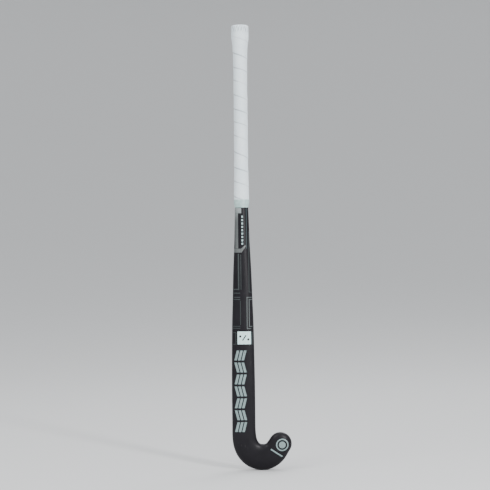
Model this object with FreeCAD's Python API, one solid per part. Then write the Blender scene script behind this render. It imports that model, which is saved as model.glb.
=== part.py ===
import FreeCAD, Part
import math
import os

# Field hockey stick, all sizes in mm. Z runs up the handle, X points to the toe,
# the flat playing face looks along +Y and the rounded back along -Y.
# The stick is drawn with its lowest point near Z = 0 and moved to its final origin at the end.

os.makedirs("parts", exist_ok=True)

# Overall sizes
stick_length = 927.0
shaft_half_width = 24.3
handle_half_width = 12.45
handle_half_depth = 14.6
head_back_depth = 12.4
shaft_back_depth = 11.2
face_depth = 11.0
face_relief = 0.4

# Hook: where the shaft starts to turn and how the turn eases in and out
bend_start = 98.73
bend_ease_in = 75.0
bend_radius = 34.7
bend_steady = 45.0
bend_ease_out = 14.0
toe_straight = 7.0
heel_half_width = 27.15
toe_half_width = 23.9

# Bow of the shaft, hollow on the face side
bow_depth = 20.0
bow_peak_share = 0.38
bow_high_share = 1.1

# Laminate, liner, web and the clearance that keeps glued neighbours apart
wall = 2.6
liner = 0.8
web_thickness = 2.4
glue = 0.05
core_above_bend = 51.0

# Butt and grip
grip_length = 375.0
grip_thickness = 1.75
base_tape_thickness = 0.25
knob_flare = 5.55
knob_length = 41.0
rim_drop = 6.0
cap_radius = 5.0
plug_length = 41.0
finish_width = 16.4
finish_below_grip = 5.0
finish_thickness = 0.35

# Printed films
film = 0.12
line_width = 1.4
badge_width = 27.8
badge_height = 26.2
tile_count = 7
toe_badge_radius = 13.0

# Heights that follow from the sizes above
grip_low = stick_length - grip_length
base_tape_low = grip_low + 6.0
knob_low = stick_length - knob_length
rim_height = stick_length - rim_drop
finish_low = grip_low - finish_below_grip
finish_high = finish_low + finish_width
core_top = bend_start + core_above_bend


def vec(x, y, z):
    return FreeCAD.Vector(x, y, z)


def smooth(t):
    t = min(max(t, 0.0), 1.0)
    return t * t * (3.0 - 2.0 * t)


def along(stations, z):
    # Cubic through (height, value) pairs, level beyond both ends
    if z <= stations[0][0]:
        return stations[0][1]
    if z >= stations[-1][0]:
        return stations[-1][1]
    count = len(stations)
    k = max(i for i in range(count - 1) if stations[i][0] <= z)
    slopes = []
    for i in (k, k + 1):
        if i == 0 or i == count - 1:
            slopes.append(0.0)
        else:
            before, after = stations[i - 1], stations[i + 1]
            slopes.append((after[1] - before[1]) / (after[0] - before[0]))
    (z0, v0), (z1, v1) = stations[k], stations[k + 1]
    span = z1 - z0
    t = (z - z0) / span
    return ((2 * t**3 - 3 * t**2 + 1) * v0 + (t**3 - 2 * t**2 + t) * span * slopes[0]
            + (3 * t**2 - 2 * t**3) * v1 + (t**3 - t**2) * span * slopes[1])


# The shaft narrows from the blade-wide lower part to the oval handle. Heights are shares of the
# run from the start of the bend to the grip, widths are shares of the way from handle to shaft.
shaft_run = grip_low - bend_start


def run_height(share):
    return bend_start + share * shaft_run


def taper(share):
    return handle_half_width + share * (shaft_half_width - handle_half_width)


width_stations = [(run_height(a), taper(b)) for a, b in (
    (0.0, 1.0), (0.18, 0.985), (0.362, 0.90), (0.47, 0.823), (0.545, 0.722), (0.69, 0.548),
    (0.764, 0.422), (0.839, 0.287), (0.912, 0.211), (0.985, 0.127), (1.075, 0.08), (1.195, 0.0))]
face_stations = [
    (run_height(0.51), face_depth),
    (run_height(0.687), face_depth - face_relief - 0.2),
    (run_height(0.73), face_depth - face_relief - 0.15),
    (run_height(0.985), face_depth + 0.45 * (handle_half_depth - face_depth)),
    (run_height(1.46), handle_half_depth),
]
back_stations = [
    (bend_start, shaft_back_depth),
    (run_height(0.223), shaft_back_depth),
    (run_height(0.488), shaft_back_depth + 0.38 * (handle_half_depth - shaft_back_depth)),
    (run_height(0.985), shaft_back_depth + 0.65 * (handle_half_depth - shaft_back_depth)),
    (run_height(1.46), handle_half_depth),
]
face_cut_top = run_height(0.709)


def roundness(z):
    # 0 where the section has a flat face, 1 where it has become an oval
    return smooth((z - run_height(0.62)) / (0.44 * shaft_run))


def face_power(z):
    return 5.0 - 3.0 * roundness(z)


def back_power(z):
    return 2.25 - 0.25 * roundness(z)


# Bow: a straight head, a tight arc up to the peak, a long arc, then a straight handle
bow_low_end = bend_start + 19.0
bow_peak = run_height(bow_peak_share)
bow_high_end = run_height(bow_high_share)
bow_low_slope = bow_depth / (bow_low_end + (bow_peak - bow_low_end) / 2.0)
bow_high_slope = bow_depth / (stick_length - bow_high_end + (bow_high_end - bow_peak) / 2.0)


def bow(z):
    if z <= bow_low_end:
        return bow_low_slope * z
    if z <= bow_peak:
        up = bow_peak - z
        return bow_depth - bow_low_slope * up**2 / (2.0 * (bow_peak - bow_low_end))
    if z <= bow_high_end:
        up = z - bow_peak
        return bow_depth - bow_high_slope * up**2 / (2.0 * (bow_high_end - bow_peak))
    return bow_high_slope * (stick_length - z)


def bow_slope(z):
    if z <= bow_low_end:
        return bow_low_slope
    if z <= bow_peak:
        return bow_low_slope * (bow_peak - z) / (bow_peak - bow_low_end)
    if z <= bow_high_end:
        return -bow_high_slope * (z - bow_peak) / (bow_high_end - bow_peak)
    return -bow_high_slope


def shaft_station(z):
    return {
        "x": 0.0, "z": z, "turn": 0.0,
        "half": along(width_stations, z),
        "face": along(face_stations, z),
        "back": along(back_stations, z),
        "face_power": face_power(z),
        "back_power": back_power(z),
    }


def bend_rate(s):
    # Curvature of the centre line at distance s past the start of the bend
    if s < bend_ease_in:
        return (0.5 - 0.5 * math.cos(math.pi * s / bend_ease_in)) / bend_radius
    if s < bend_ease_in + bend_steady:
        return 1.0 / bend_radius
    past = min(s - bend_ease_in - bend_steady, bend_ease_out)
    return (0.5 + 0.5 * math.cos(math.pi * past / bend_ease_out)) / bend_radius


def hook_stations(count):
    # Walk the centre line from the start of the bend to the centre of the toe
    total = bend_ease_in + bend_steady + bend_ease_out + toe_straight
    steps_between = 60
    step = total / (count * steps_between)
    x, z, turn = 0.0, bend_start, 0.0
    walk = [(0.0, x, z, turn)]
    for i in range(count * steps_between):
        s = (i + 0.5) * step
        middle = turn + bend_rate(s) * step / 2.0
        x += math.sin(middle) * step
        z -= math.cos(middle) * step
        turn += bend_rate(s) * step
        walk.append(((i + 1) * step, x, z, turn))
    lowest = next(s for s, _, _, angle in walk if angle >= math.pi / 2.0)
    stations = []
    for s, x, z, turn in walk[::steps_between]:
        if s < lowest:
            half = shaft_half_width + (heel_half_width - shaft_half_width) * smooth(s / lowest)
        else:
            past = smooth((s - lowest) / (total - lowest))
            half = heel_half_width + (toe_half_width - heel_half_width) * past
        stations.append({
            "x": x, "z": z, "turn": turn, "half": half,
            "face": face_depth,
            "back": shaft_back_depth + (head_back_depth - shaft_back_depth) * smooth(s / lowest),
            "face_power": face_power(0.0),
            "back_power": back_power(0.0),
        })
    return stations


def half_curve(station, side, grow, bowed, inset=0.0):
    # Half of a section, from the middle of the face round one edge to the middle of the back.
    # With an inset the curve starts and stops that far from the middle.
    points = []
    out_x, out_z = -math.cos(station["turn"]), -math.sin(station["turn"])
    shift = bow(station["z"]) if bowed else 0.0
    half = station["half"] + grow
    skipped = []
    for power in (station["face_power"], station["back_power"]):
        share = inset / half
        skipped.append(math.atan2(share, (1.0 - share**power) ** (1.0 / power)))
    steps = 22
    for i in range(steps + 1):
        on_face = i <= steps / 2
        turned = abs(2.0 * i / steps - 1.0)
        skip = skipped[0] if on_face else skipped[1]
        angle = math.pi / 2.0 * (1.0 - turned) + skip * turned
        power = station["face_power"] if on_face else station["back_power"]
        depth = (station["face"] if on_face else -station["back"]) + (grow if on_face else -grow)
        reach = (math.sin(angle)**power + math.cos(angle)**power) ** (-1.0 / power)
        across = side * half * reach * math.sin(angle)
        points.append(vec(station["x"] + across * out_x, depth * reach * math.cos(angle) - shift,
                          station["z"] + across * out_z))
    # Every section uses the same spacing of knots, so a loft through them stays light
    knots = [i / float(steps) for i in range(steps + 1)]
    curve = Part.BSplineCurve()
    if inset:
        curve.interpolate(Points=points, Parameters=knots)
    else:
        start = vec(side * out_x, 0, side * out_z)
        curve.interpolate(Points=points, Parameters=knots, InitialTangent=start,
                          FinalTangent=start * -1.0)
    return curve


def cubic_poles(levels, points_at):
    # Control points, level by level, of cubics fixed by the points and their slopes at each level.
    # A stretch depends only on its own two ends, so surfaces that share levels share their shape.
    step = 0.02
    slopes = []
    for v in levels:
        ahead, behind = points_at(v + step), points_at(v - step)
        slopes.append([(a - b) * (0.5 / step) for a, b in zip(ahead, behind)])
    points = [points_at(v) for v in levels]
    rows = [points[0]]
    for k in range(len(levels) - 1):
        third = (levels[k + 1] - levels[k]) / 3.0
        rows.append([p + s * third for p, s in zip(points[k], slopes[k])])
        rows.append([p - s * third for p, s in zip(points[k + 1], slopes[k + 1])])
    return rows + [points[-1]]


def level_repeats(levels):
    return [4] + [2] * (len(levels) - 2) + [4]


def profile_edge(levels, point_at):
    # A curve up the stick through one point per level
    poles = [row[0] for row in cubic_poles(levels, lambda v: [point_at(v)])]
    curve = Part.BSplineCurve()
    curve.buildFromPolesMultsKnots(poles, level_repeats(levels), levels, False, 3)
    return curve.toShape()


def half_skin(levels, side, grow_at, height_at, inset=0.0):
    # One side of a shaft surface: half sections carried up through the levels
    def curve_at(v):
        return half_curve(shaft_station(height_at(v)), side, grow_at(v), True, inset)

    rows = cubic_poles(levels, lambda v: curve_at(v).getPoles())
    first = curve_at(levels[0])
    surface = Part.BSplineSurface()
    surface.buildFromPolesMultsKnots([list(column) for column in zip(*rows)], first.getMultiplicities(),
                                     level_repeats(levels), first.getKnots(), levels, False, False, 3, 3)
    return surface.toShape()


def closed_solid(faces):
    shell = Part.Shell(faces)
    shell.sewShape()
    solid = Part.Solid(shell)
    if solid.Volume < 0:
        solid.reverse()
    return solid


def section_wire(station, grow, bowed):
    return Part.Wire([half_curve(station, side, grow, bowed).toShape() for side in (1.0, -1.0)])


def shaft_solid(levels, grow_at, height_at=lambda v: v):
    faces = [half_skin(levels, side, grow_at, height_at) for side in (1.0, -1.0)]
    for v in (levels[0], levels[-1]):
        faces.append(Part.Face(section_wire(shaft_station(height_at(v)), grow_at(v), True)))
    return closed_solid(faces)


def spread(low, high, count):
    return [low + (high - low) * i / (count - 1.0) for i in range(count)]


def lean(shape):
    # Tilt the head by the straight part of the bow, keeping every height
    matrix = FreeCAD.Matrix()
    matrix.A23 = -bow_low_slope
    return shape.transformGeometry(matrix)


seam_height = bend_start + 16.0
hook = hook_stations(26)
body_top = stick_length - 1.0
ladder = spread(seam_height, body_top, 37)


def rungs(low, high):
    # Levels from low to high: both ends, and the shared ladder's heights between them
    return [low] + [z for z in ladder if low + 2.5 < z < high - 2.5] + [high]


def body_solid(grow):
    # The whole stick grown or shrunk by one amount: hook, rounded toe and shaft
    low_shaft = [shaft_station(z) for z in (seam_height, seam_height - 8.0)]
    wires = [section_wire(station, grow, False) for station in low_shaft + hook]
    blade = Part.makeLoft(wires, True, False)
    end = hook[-1]
    half = half_curve(end, 1.0, grow, False).toShape()
    ends = [v.Point for v in half.Vertexes]
    outline = Part.Wire([half, Part.makeLine(ends[1], ends[0])])
    toe = Part.Face(outline).revolve(vec(end["x"], 0, end["z"]), vec(0, -1, 0), 180)
    if toe.Volume < 0:
        toe.reverse()
    head = lean(blade.fuse(toe))
    shaft = shaft_solid(ladder, lambda z: grow)
    return head.fuse(shaft).Solids[0]


def bow_band(face_offset, back_offset, low, high):
    # A slab across the stick whose two long sides follow the bow
    def side(offset):
        marks = [low] + [z for z in (bow_low_end, bow_peak, bow_high_end) if low < z < high] + [high]
        edges = []
        for a, b in zip(marks[:-1], marks[1:]):
            ya, yb = offset - bow(a), offset - bow(b)
            if b <= bow_low_end or a >= bow_high_end:
                edges.append(Part.makeLine(vec(-80, ya, a), vec(-80, yb, b)))
            else:
                middle = ya - bow_slope(a + 1e-9) * (b - a) / 2.0
                curve = Part.BezierCurve()
                curve.setPoles([vec(-80, ya, a), vec(-80, middle, (a + b) / 2.0), vec(-80, yb, b)])
                edges.append(curve.toShape())
        return edges

    front = side(face_offset)
    rear = side(back_offset)
    bottom = Part.makeLine(vec(-80, back_offset - bow(low), low), vec(-80, face_offset - bow(low), low))
    top = Part.makeLine(vec(-80, back_offset - bow(high), high), vec(-80, face_offset - bow(high), high))
    outline = Part.Wire(Part.__sortEdges__(front + rear + [bottom, top]))
    return Part.Face(outline).extrude(vec(240, 0, 0))


def block(low, high, x_low=-200.0, x_high=200.0):
    return Part.makeBox(x_high - x_low, 400, high - low, vec(x_low, -200, low))


nodes = {}

# Shell, liner and what fills them
body = body_solid(0.0)
body = body.cut(bow_band(60.0, face_depth - face_relief, -30.0, face_cut_top)).Solids[0]
cavity = body_solid(-wall)
nodes["carbon_skin"] = body.common(block(-30, rim_height)).cut(cavity)

liner_top = rim_height - plug_length
liner_outside = body_solid(-wall - glue)
liner_inside = body_solid(-wall - glue - liner)
nodes["aramid_liner"] = liner_outside.common(block(-30, liner_top)).cut(liner_inside)

fill_grow = -wall - 2.0 * glue - liner
filling = body_solid(fill_grow)
nodes["head_core"] = filling.common(block(-30, core_top - glue))
cell_heights = rungs(core_top, liner_top)
web_half = web_thickness / 2.0


def lining_y(z, side):
    # Where the lining stands over the web's corner, on the face side or the back side
    station = shaft_station(z)
    power, depth = (("face_power", "face") if side > 0 else ("back_power", "back"))
    share = (web_half / (station["half"] + fill_grow)) ** station[power]
    return side * (station[depth] + fill_grow) * (1.0 - share) ** (1.0 / station[power]) - bow(z)


def foam_cell(side):
    # The lining's curve on its own side, closed by the flat of the web and level ends
    inset = web_half + glue

    def curve_at(z):
        return half_curve(shaft_station(z), side, fill_grow, True, inset)

    skin = half_skin(cell_heights, side, lambda z: fill_grow, lambda z: z, inset)
    ends = [curve_at(cell_heights[0]), curve_at(cell_heights[-1])]
    closing = [Part.makeLine(curve.StartPoint, curve.EndPoint) for curve in ends]
    caps = [Part.Face(Part.Wire([curve.toShape(), line])) for curve, line in zip(ends, closing)]
    uprights = [profile_edge(cell_heights, lambda z: curve_at(z).StartPoint),
                profile_edge(cell_heights, lambda z: curve_at(z).EndPoint)]
    flat = Part.Face(Part.Wire(Part.__sortEdges__(closing + uprights)))
    return closed_solid([skin, flat] + caps)


web_edges = [profile_edge(cell_heights, lambda z: vec(-web_half, lining_y(z, 1), z)),
             profile_edge(cell_heights, lambda z: vec(-web_half, lining_y(z, -1), z))]
for z in (cell_heights[0], cell_heights[-1]):
    web_edges.append(Part.makeLine(vec(-web_half, lining_y(z, -1), z), vec(-web_half, lining_y(z, 1), z)))
web_outline = Part.Face(Part.Wire(Part.__sortEdges__(web_edges)))
nodes["centre_web"] = web_outline.extrude(vec(web_thickness, 0, 0))
nodes["handle_foam_heel_side"] = foam_cell(1.0)
nodes["handle_foam_toe_side"] = foam_cell(-1.0)

# Butt plug: a shank in the shell, a flange on its rim and a boss through the grip's top
flange_top = stick_length - grip_thickness - glue
shank = shaft_solid(rungs(liner_top + glue, rim_height + glue), lambda z: -wall - glue)
flange = shaft_solid(spread(rim_height + glue, flange_top, 3), lambda z: 0.0)
boss_foot = vec(0, -bow(stick_length), flange_top - 1.0)
boss = Part.makeCylinder(cap_radius, stick_length - boss_foot.z, boss_foot)
nodes["butt_plug"] = shank.fuse(flange).fuse(boss)

# Built-up knob and grip
grip_stations = [
    (grip_low, base_tape_thickness + 2.0 * glue + 0.25),
    (grip_low + 5.0, grip_thickness),
    (knob_low - 56.0, grip_thickness),
    (knob_low - 34.0, grip_thickness + 0.4),
    (knob_low - 9.0, grip_thickness + 1.1),
    (knob_low + 7.0, grip_thickness + 2.6),
    (knob_low + 14.0, knob_flare - 0.1),
    (knob_low + 20.0, knob_flare),
]


def grip_offset(z):
    return along(grip_stations, z)


def collar_offset(z):
    return grip_offset(z) - grip_thickness - glue


def rounded(offset_at, top, radius):
    # Offset and height along a profile that rolls inward by a quarter circle just below the top.
    # It is measured by height up to the circle and by length along the circle.
    start = top - radius

    def height(v):
        return v if v <= start else start + radius * math.sin((v - start) / radius)

    def offset(v):
        if v <= start:
            return offset_at(v)
        return offset_at(height(v)) - radius + radius * math.cos((v - start) / radius)
    return offset, height


def rounded_levels(top, radius):
    return [top - radius + share * math.pi / 2.0 * radius for share in (0.0, 0.25, 0.5, 0.75, 1.0)]


knob_heights = spread(knob_low - 0.1, knob_low + 22.0, 9) + [knob_low + 28.0]
collar_core = shaft_solid(rungs(knob_low - 10.0, stick_length + 2.0), lambda z: glue)
collar_body = shaft_solid(knob_heights + rounded_levels(flange_top, 2.2),
                          *rounded(collar_offset, flange_top, 2.2))
nodes["knob_collar"] = collar_body.common(block(knob_low, flange_top + 1)).cut(collar_core)

tape_top = knob_low - 2.0
tape_outside = shaft_solid(rungs(base_tape_low, tape_top), lambda z: glue + base_tape_thickness)
tape_inside = shaft_solid(rungs(base_tape_low - 5.0, tape_top + 5.0), lambda z: glue)
nodes["base_tape"] = tape_outside.cut(tape_inside)

grip_edge = [grip_low + 1.5, grip_low + 3.5, grip_low + 5.0, grip_low + 9.0]
grip_heights = ([grip_low] + grip_edge + rungs(grip_low + 12.0, knob_low - 58.0)
                + spread(knob_low - 45.0, knob_low - 9.0, 4)
                + spread(knob_low, knob_low + 22.0, 8) + [knob_low + 28.0]
                + rounded_levels(stick_length, 4.0))
grip_outside = shaft_solid(grip_heights, *rounded(grip_offset, stick_length, 4.0))
bare = shaft_solid(rungs(grip_low - 5.0, knob_low + glue), lambda z: 2.0 * glue + base_tape_thickness)
room_top = flange_top + glue
knob_room = shaft_solid(knob_heights + rounded_levels(room_top, 2.2),
                        *rounded(lambda z: collar_offset(z) + glue, room_top, 2.2))
boss_room = Part.makeCylinder(cap_radius + 0.1, 10.0, vec(0, -bow(stick_length), stick_length - 5.0))
nodes["grip_wrap"] = grip_outside.cut(bare).cut(knob_room).cut(boss_room)

# Finishing tape, wound half on the grip and half on the shaft
finish_stations = [
    (finish_low, finish_thickness),
    (grip_low - 2.5, finish_thickness + 0.2),
    (grip_low - 0.5, 3.0 * finish_thickness),
    (grip_low + 5.0, grip_thickness + glue + finish_thickness),
    (finish_high, grip_thickness + glue + finish_thickness),
]
finish_heights = spread(finish_low, grip_low + 5.0, 9) + [grip_low + 9.0, finish_high]
finish_outside = shaft_solid(finish_heights, lambda z: along(finish_stations, z))
bare_shaft = shaft_solid(rungs(finish_low - 9.0, grip_low + 9.0), lambda z: glue)
grip_room_heights = [grip_low - glue] + grip_edge + rungs(grip_low + 12.0, finish_high + 30.0)
grip_room = shaft_solid(grip_room_heights, lambda z: grip_offset(z) + glue)
nodes["finishing_tape"] = finish_outside.cut(bare_shaft).cut(grip_room)


# Printed films on the rounded back. Places are shares: across, of the shaft's half width from
# its middle; up, of the run from the start of the bend to the finishing tape.
def across(share):
    return share * shaft_half_width


def up(share):
    return bend_start + share * (finish_low - bend_start)


def prism(corners):
    loop = [vec(x, -70, z) for x, z in corners]
    return Part.Face(Part.makePolygon(loop + [loop[0]])).extrude(vec(0, 100, 0))


def rod(x0, z0, x1, z1, width):
    # A straight bar of one width between two points, as a prism through the stick
    length = math.hypot(x1 - x0, z1 - z0)
    nx, nz = -(z1 - z0) / length * width / 2.0, (x1 - x0) / length * width / 2.0
    return prism([(x0 + nx, z0 + nz), (x1 + nx, z1 + nz), (x1 - nx, z1 - nz), (x0 - nx, z0 - nz)])


def bar(u0, v0, u1, v1, width=line_width):
    return rod(across(u0), up(v0), across(u1), up(v1), width)


def patch(u0, v0, u1, v1):
    return prism([(across(u0), up(v0)), (across(u1), up(v0)), (across(u1), up(v1)), (across(u0), up(v1))])


def disc(x, z, radius):
    return Part.makeCylinder(radius, 100, vec(x, -70, z), vec(0, 1, 0))


def merge(shapes):
    return shapes[0].multiFuse(shapes[1:]) if len(shapes) > 1 else shapes[0]


grown = body_solid(film)
back_skin = grown.common(bow_band(-1.5, -60.0, 10.0, finish_low - glue)).cut(body)

sill = [(-0.68, 0.792), (-0.04, 0.792), (0.35, 0.824), (0.23, 0.824), (-0.10, 0.810), (-0.68, 0.810)]
artwork = {
    "flank_panel": [
        patch(-0.58, 0.969, -0.04, 0.998),
        patch(-0.58, 0.803, -0.32, 0.973),
        prism([(across(u), up(v)) for u, v in sill]),
    ],
    "window_outline": [bar(0.39, 0.810, 0.39, 0.998, 1.2)],
    "window_marks": [patch(-0.04, 0.828 + 0.0156 * i, 0.10, 0.837 + 0.0156 * i) for i in range(9)],
    "upper_frame_left": [
        bar(-0.32, 0.787, -0.32, 0.620, 2.6), bar(-0.76, 0.622, -0.27, 0.622, 2.0),
        bar(-0.12, 0.783, -0.12, 0.621, 1.2),
        bar(-0.77, 0.605, -0.20, 0.605), bar(-0.77, 0.586, -0.20, 0.586), bar(-0.78, 0.576, -0.20, 0.576),
    ],
    "upper_frame_right": [bar(0.56, 0.889, 0.56, 0.608), bar(0.53, 0.609, 0.79, 0.609)],
    "lower_frame_right": [
        bar(0.37, 0.587, 0.37, 0.439), bar(0.35, 0.585, 0.80, 0.585), bar(0.35, 0.441, 0.70, 0.441),
        bar(0.56, 0.577, 0.56, 0.449), bar(0.54, 0.575, 0.80, 0.575), bar(0.54, 0.451, 0.80, 0.451),
    ],
    "lower_frame_left": [
        bar(-0.86, 0.452, -0.21, 0.452), bar(-0.86, 0.443, -0.21, 0.443),
        bar(-0.19, 0.570, -0.19, 0.458, 1.2),
    ],
    "badge_brackets": [
        bar(-0.60, 0.425, -0.60, 0.367), bar(-0.82, 0.423, -0.57, 0.423), bar(-0.84, 0.369, -0.57, 0.369),
        bar(0.835, 0.425, 0.835, 0.367),
    ],
}

badge_x, badge_z = across(0.11), up(0.3985)
dot_x, dot_z, dot_radius = 0.3 * badge_width, 0.12 * badge_height, 0.085 * badge_width
slash_x, slash_z = 0.13 * badge_width, 0.21 * badge_height
marks = [disc(badge_x - dot_x, badge_z + dot_z, dot_radius),
         disc(badge_x + dot_x, badge_z - dot_z, dot_radius),
         rod(badge_x - slash_x, badge_z - slash_z, badge_x + slash_x, badge_z + slash_z, dot_radius)]
left, right = badge_x - badge_width / 2.0, badge_x + badge_width / 2.0
low, high = badge_z - badge_height / 2.0, badge_z + badge_height / 2.0
plate = prism([(left, low), (right, low), (right, high), (left, high)])
artwork["square_badge_marks"] = marks
artwork["square_badge"] = [plate.cut(merge(marks))]

# Tiles down the shaft: three slanted bars side by side, leaning the other way in every second tile
tile_pitch = up(0.0555) - up(0.0)
bar_step = across(0.305)


def tile(centre_z, lean_way):
    bars = []
    low, high = centre_z - 0.41 * tile_pitch, centre_z + 0.41 * tile_pitch
    half_bar, slant = 0.35 * bar_step, 0.35 * bar_step * lean_way
    for k in (-1, 0, 1):
        x = across(-0.235) + k * bar_step
        bars.append(prism([(x - half_bar - slant, low), (x + half_bar - slant, low),
                           (x + half_bar + slant, high), (x - half_bar + slant, high)]))
    return bars


artwork["shaft_motifs"] = []
for i in range(tile_count):
    artwork["shaft_motifs"] += tile(up(0.3176) - i * tile_pitch, 1.0 if i % 2 == 0 else -1.0)

# Toe: a ring round a solid disc, and a slanted bar beside them
ring_x, ring_z = hook[-1]["x"] + 3.9, hook[-1]["z"] - 1.4
ring = disc(ring_x, ring_z, toe_badge_radius).cut(disc(ring_x, ring_z, 0.8 * toe_badge_radius))
artwork["toe_badge"] = [ring, disc(ring_x, ring_z, 0.54 * toe_badge_radius)]
artwork["toe_bar"] = [rod(ring_x - 23.9, ring_z - 8.8, ring_x + 0.1, ring_z - 24.7, 2.0 * line_width)]

for name, shapes in artwork.items():
    nodes[name] = back_skin.common(merge(shapes))

# Final origin: the middle of the bounding box's bottom
box = FreeCAD.BoundBox()
for name in ("carbon_skin", "grip_wrap", "finishing_tape", "butt_plug"):
    box.add(nodes[name].optimalBoundingBox(False))
shift = vec(-(box.XMin + box.XMax) / 2.0, -(box.YMin + box.YMax) / 2.0, -box.ZMin)

for name, shape in nodes.items():
    solids = shape.Solids
    moved = solids[0] if len(solids) == 1 else Part.makeCompound(solids)
    moved = moved.translated(shift)
    moved.exportStep("parts/" + name + ".step")
    print(name, len(solids), round(shape.Volume / 1000.0, 2), shape.isValid())
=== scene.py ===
import math

import bmesh
import bpy
import numpy as np
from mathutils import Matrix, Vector


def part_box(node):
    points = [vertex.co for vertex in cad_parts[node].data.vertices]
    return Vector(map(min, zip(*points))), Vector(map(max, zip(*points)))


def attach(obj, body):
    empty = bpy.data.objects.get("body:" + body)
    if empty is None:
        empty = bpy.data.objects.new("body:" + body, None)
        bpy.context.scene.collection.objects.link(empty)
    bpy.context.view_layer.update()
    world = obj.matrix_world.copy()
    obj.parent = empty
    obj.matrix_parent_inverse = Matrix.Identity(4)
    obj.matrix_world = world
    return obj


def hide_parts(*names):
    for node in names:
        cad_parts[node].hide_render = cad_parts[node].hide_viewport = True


# Field hockey stick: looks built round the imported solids, all shapes worked out as numpy grids
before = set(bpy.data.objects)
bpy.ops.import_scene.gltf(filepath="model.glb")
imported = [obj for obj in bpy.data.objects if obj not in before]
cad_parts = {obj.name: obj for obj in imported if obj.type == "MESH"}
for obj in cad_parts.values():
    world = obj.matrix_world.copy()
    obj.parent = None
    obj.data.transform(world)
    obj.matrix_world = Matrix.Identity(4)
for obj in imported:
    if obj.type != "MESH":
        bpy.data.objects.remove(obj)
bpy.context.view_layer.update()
print("frame loaded")

mm = 0.001

# The stick's own sizes, in mm, the same as the solids
stick = {
    "length": 927.0,
    "shaftHalfWidth": 24.3,
    "handleHalfWidth": 12.45,
    "handleHalfDepth": 14.6,
    "headBackDepth": 12.4,
    "shaftBackDepth": 11.2,
    "faceDepth": 11.0,
    "faceRelief": 0.4,
    "bendStart": 98.73,
    "bendEaseIn": 75.0,
    "bendRadius": 34.7,
    "bendSteady": 45.0,
    "bendEaseOut": 14.0,
    "toeStraight": 7.0,
    "heelHalfWidth": 27.15,
    "toeHalfWidth": 23.9,
    "bowDepth": 20.0,
    "bowStart": 19.0,        # straight part of the bow above the bend
    "bowPeak": 0.38,         # share of the way from the bend to the grip
    "bowEnd": 1.1,
    "facePower": 5.0,        # superellipse powers: high is boxy, 2 is an ellipse
    "backPower": 2.25,
    "planeTop": 0.7,         # where the planed face ends, as the same share
    "planeEase": 0.01,       # softness of its edge
    "roundFrom": 0.62,       # where the section starts to turn elliptical
    "roundRun": 0.44,        # over this share of the way
    "gripLength": 375.0,
}
gripLow = stick["length"] - stick["gripLength"]
shaftRun = gripLow - stick["bendStart"]


def smoothStep(t):
    # 3t^2 - 2t^3 between 0 and 1
    t = np.clip(t, 0.0, 1.0)
    return t * t * (3.0 - 2.0 * t)


def runHeight(share):
    # Height at a share of the way from the bend up to the grip
    return stick["bendStart"] + share * shaftRun


def throughStations(stations, z):
    # Cubic through (height, value) pairs: each slope is the chord between its neighbours, level at the ends
    heights, values = np.array(stations, float).T
    slopes = np.zeros(len(heights))
    slopes[1:-1] = (values[2:] - values[:-2]) / (heights[2:] - heights[:-2])
    z = np.clip(np.asarray(z, float), heights[0], heights[-1])
    k = np.clip(np.searchsorted(heights, z, side="right") - 1, 0, len(heights) - 2)
    span = heights[k + 1] - heights[k]
    t = (z - heights[k]) / span
    return ((2 * t**3 - 3 * t**2 + 1) * values[k] + (t**3 - 2 * t**2 + t) * span * slopes[k]
            + (3 * t**2 - 2 * t**3) * values[k + 1] + (t**3 - t**2) * span * slopes[k + 1])


# Bow: straight head, tight arc to the peak, long arc, straight handle
bowLowEnd = stick["bendStart"] + stick["bowStart"]
bowPeak = runHeight(stick["bowPeak"])
bowHighEnd = runHeight(stick["bowEnd"])
bowLowSlope = stick["bowDepth"] / (bowLowEnd + (bowPeak - bowLowEnd) / 2.0)
bowHighSlope = stick["bowDepth"] / (stick["length"] - bowHighEnd + (bowHighEnd - bowPeak) / 2.0)


def bowAt(z):
    # Line, parabola, parabola, line, joined with equal slopes
    z = np.asarray(z, float)
    rising = stick["bowDepth"] - bowLowSlope * (bowPeak - z)**2 / (2.0 * (bowPeak - bowLowEnd))
    falling = stick["bowDepth"] - bowHighSlope * (z - bowPeak)**2 / (2.0 * (bowHighEnd - bowPeak))
    return np.select([z <= bowLowEnd, z <= bowPeak, z <= bowHighEnd],
                     [bowLowSlope * z, rising, falling], bowHighSlope * (stick["length"] - z))


def taper(share):
    # Half width between the handle's, share 0, and the shaft's, share 1
    return stick["handleHalfWidth"] + share * (stick["shaftHalfWidth"] - stick["handleHalfWidth"])


widthStations = [(runHeight(a), taper(b)) for a, b in (
    (0.0, 1.0), (0.18, 0.985), (0.362, 0.90), (0.47, 0.823), (0.545, 0.722), (0.69, 0.548),
    (0.764, 0.422), (0.839, 0.287), (0.912, 0.211), (0.985, 0.127), (1.075, 0.08), (1.195, 0.0))]
faceGain = stick["handleHalfDepth"] - stick["faceDepth"]
backGain = stick["handleHalfDepth"] - stick["shaftBackDepth"]
faceStations = [
    (runHeight(0.51), stick["faceDepth"]),
    (runHeight(0.687), stick["faceDepth"] - stick["faceRelief"] - 0.2),
    (runHeight(0.73), stick["faceDepth"] - stick["faceRelief"] - 0.15),
    (runHeight(0.985), stick["faceDepth"] + 0.45 * faceGain),
    (runHeight(1.46), stick["handleHalfDepth"]),
]
backStations = [
    (stick["bendStart"], stick["shaftBackDepth"]),
    (runHeight(0.223), stick["shaftBackDepth"]),
    (runHeight(0.488), stick["shaftBackDepth"] + 0.38 * backGain),
    (runHeight(0.985), stick["shaftBackDepth"] + 0.65 * backGain),
    (runHeight(1.46), stick["handleHalfDepth"]),
]


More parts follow.
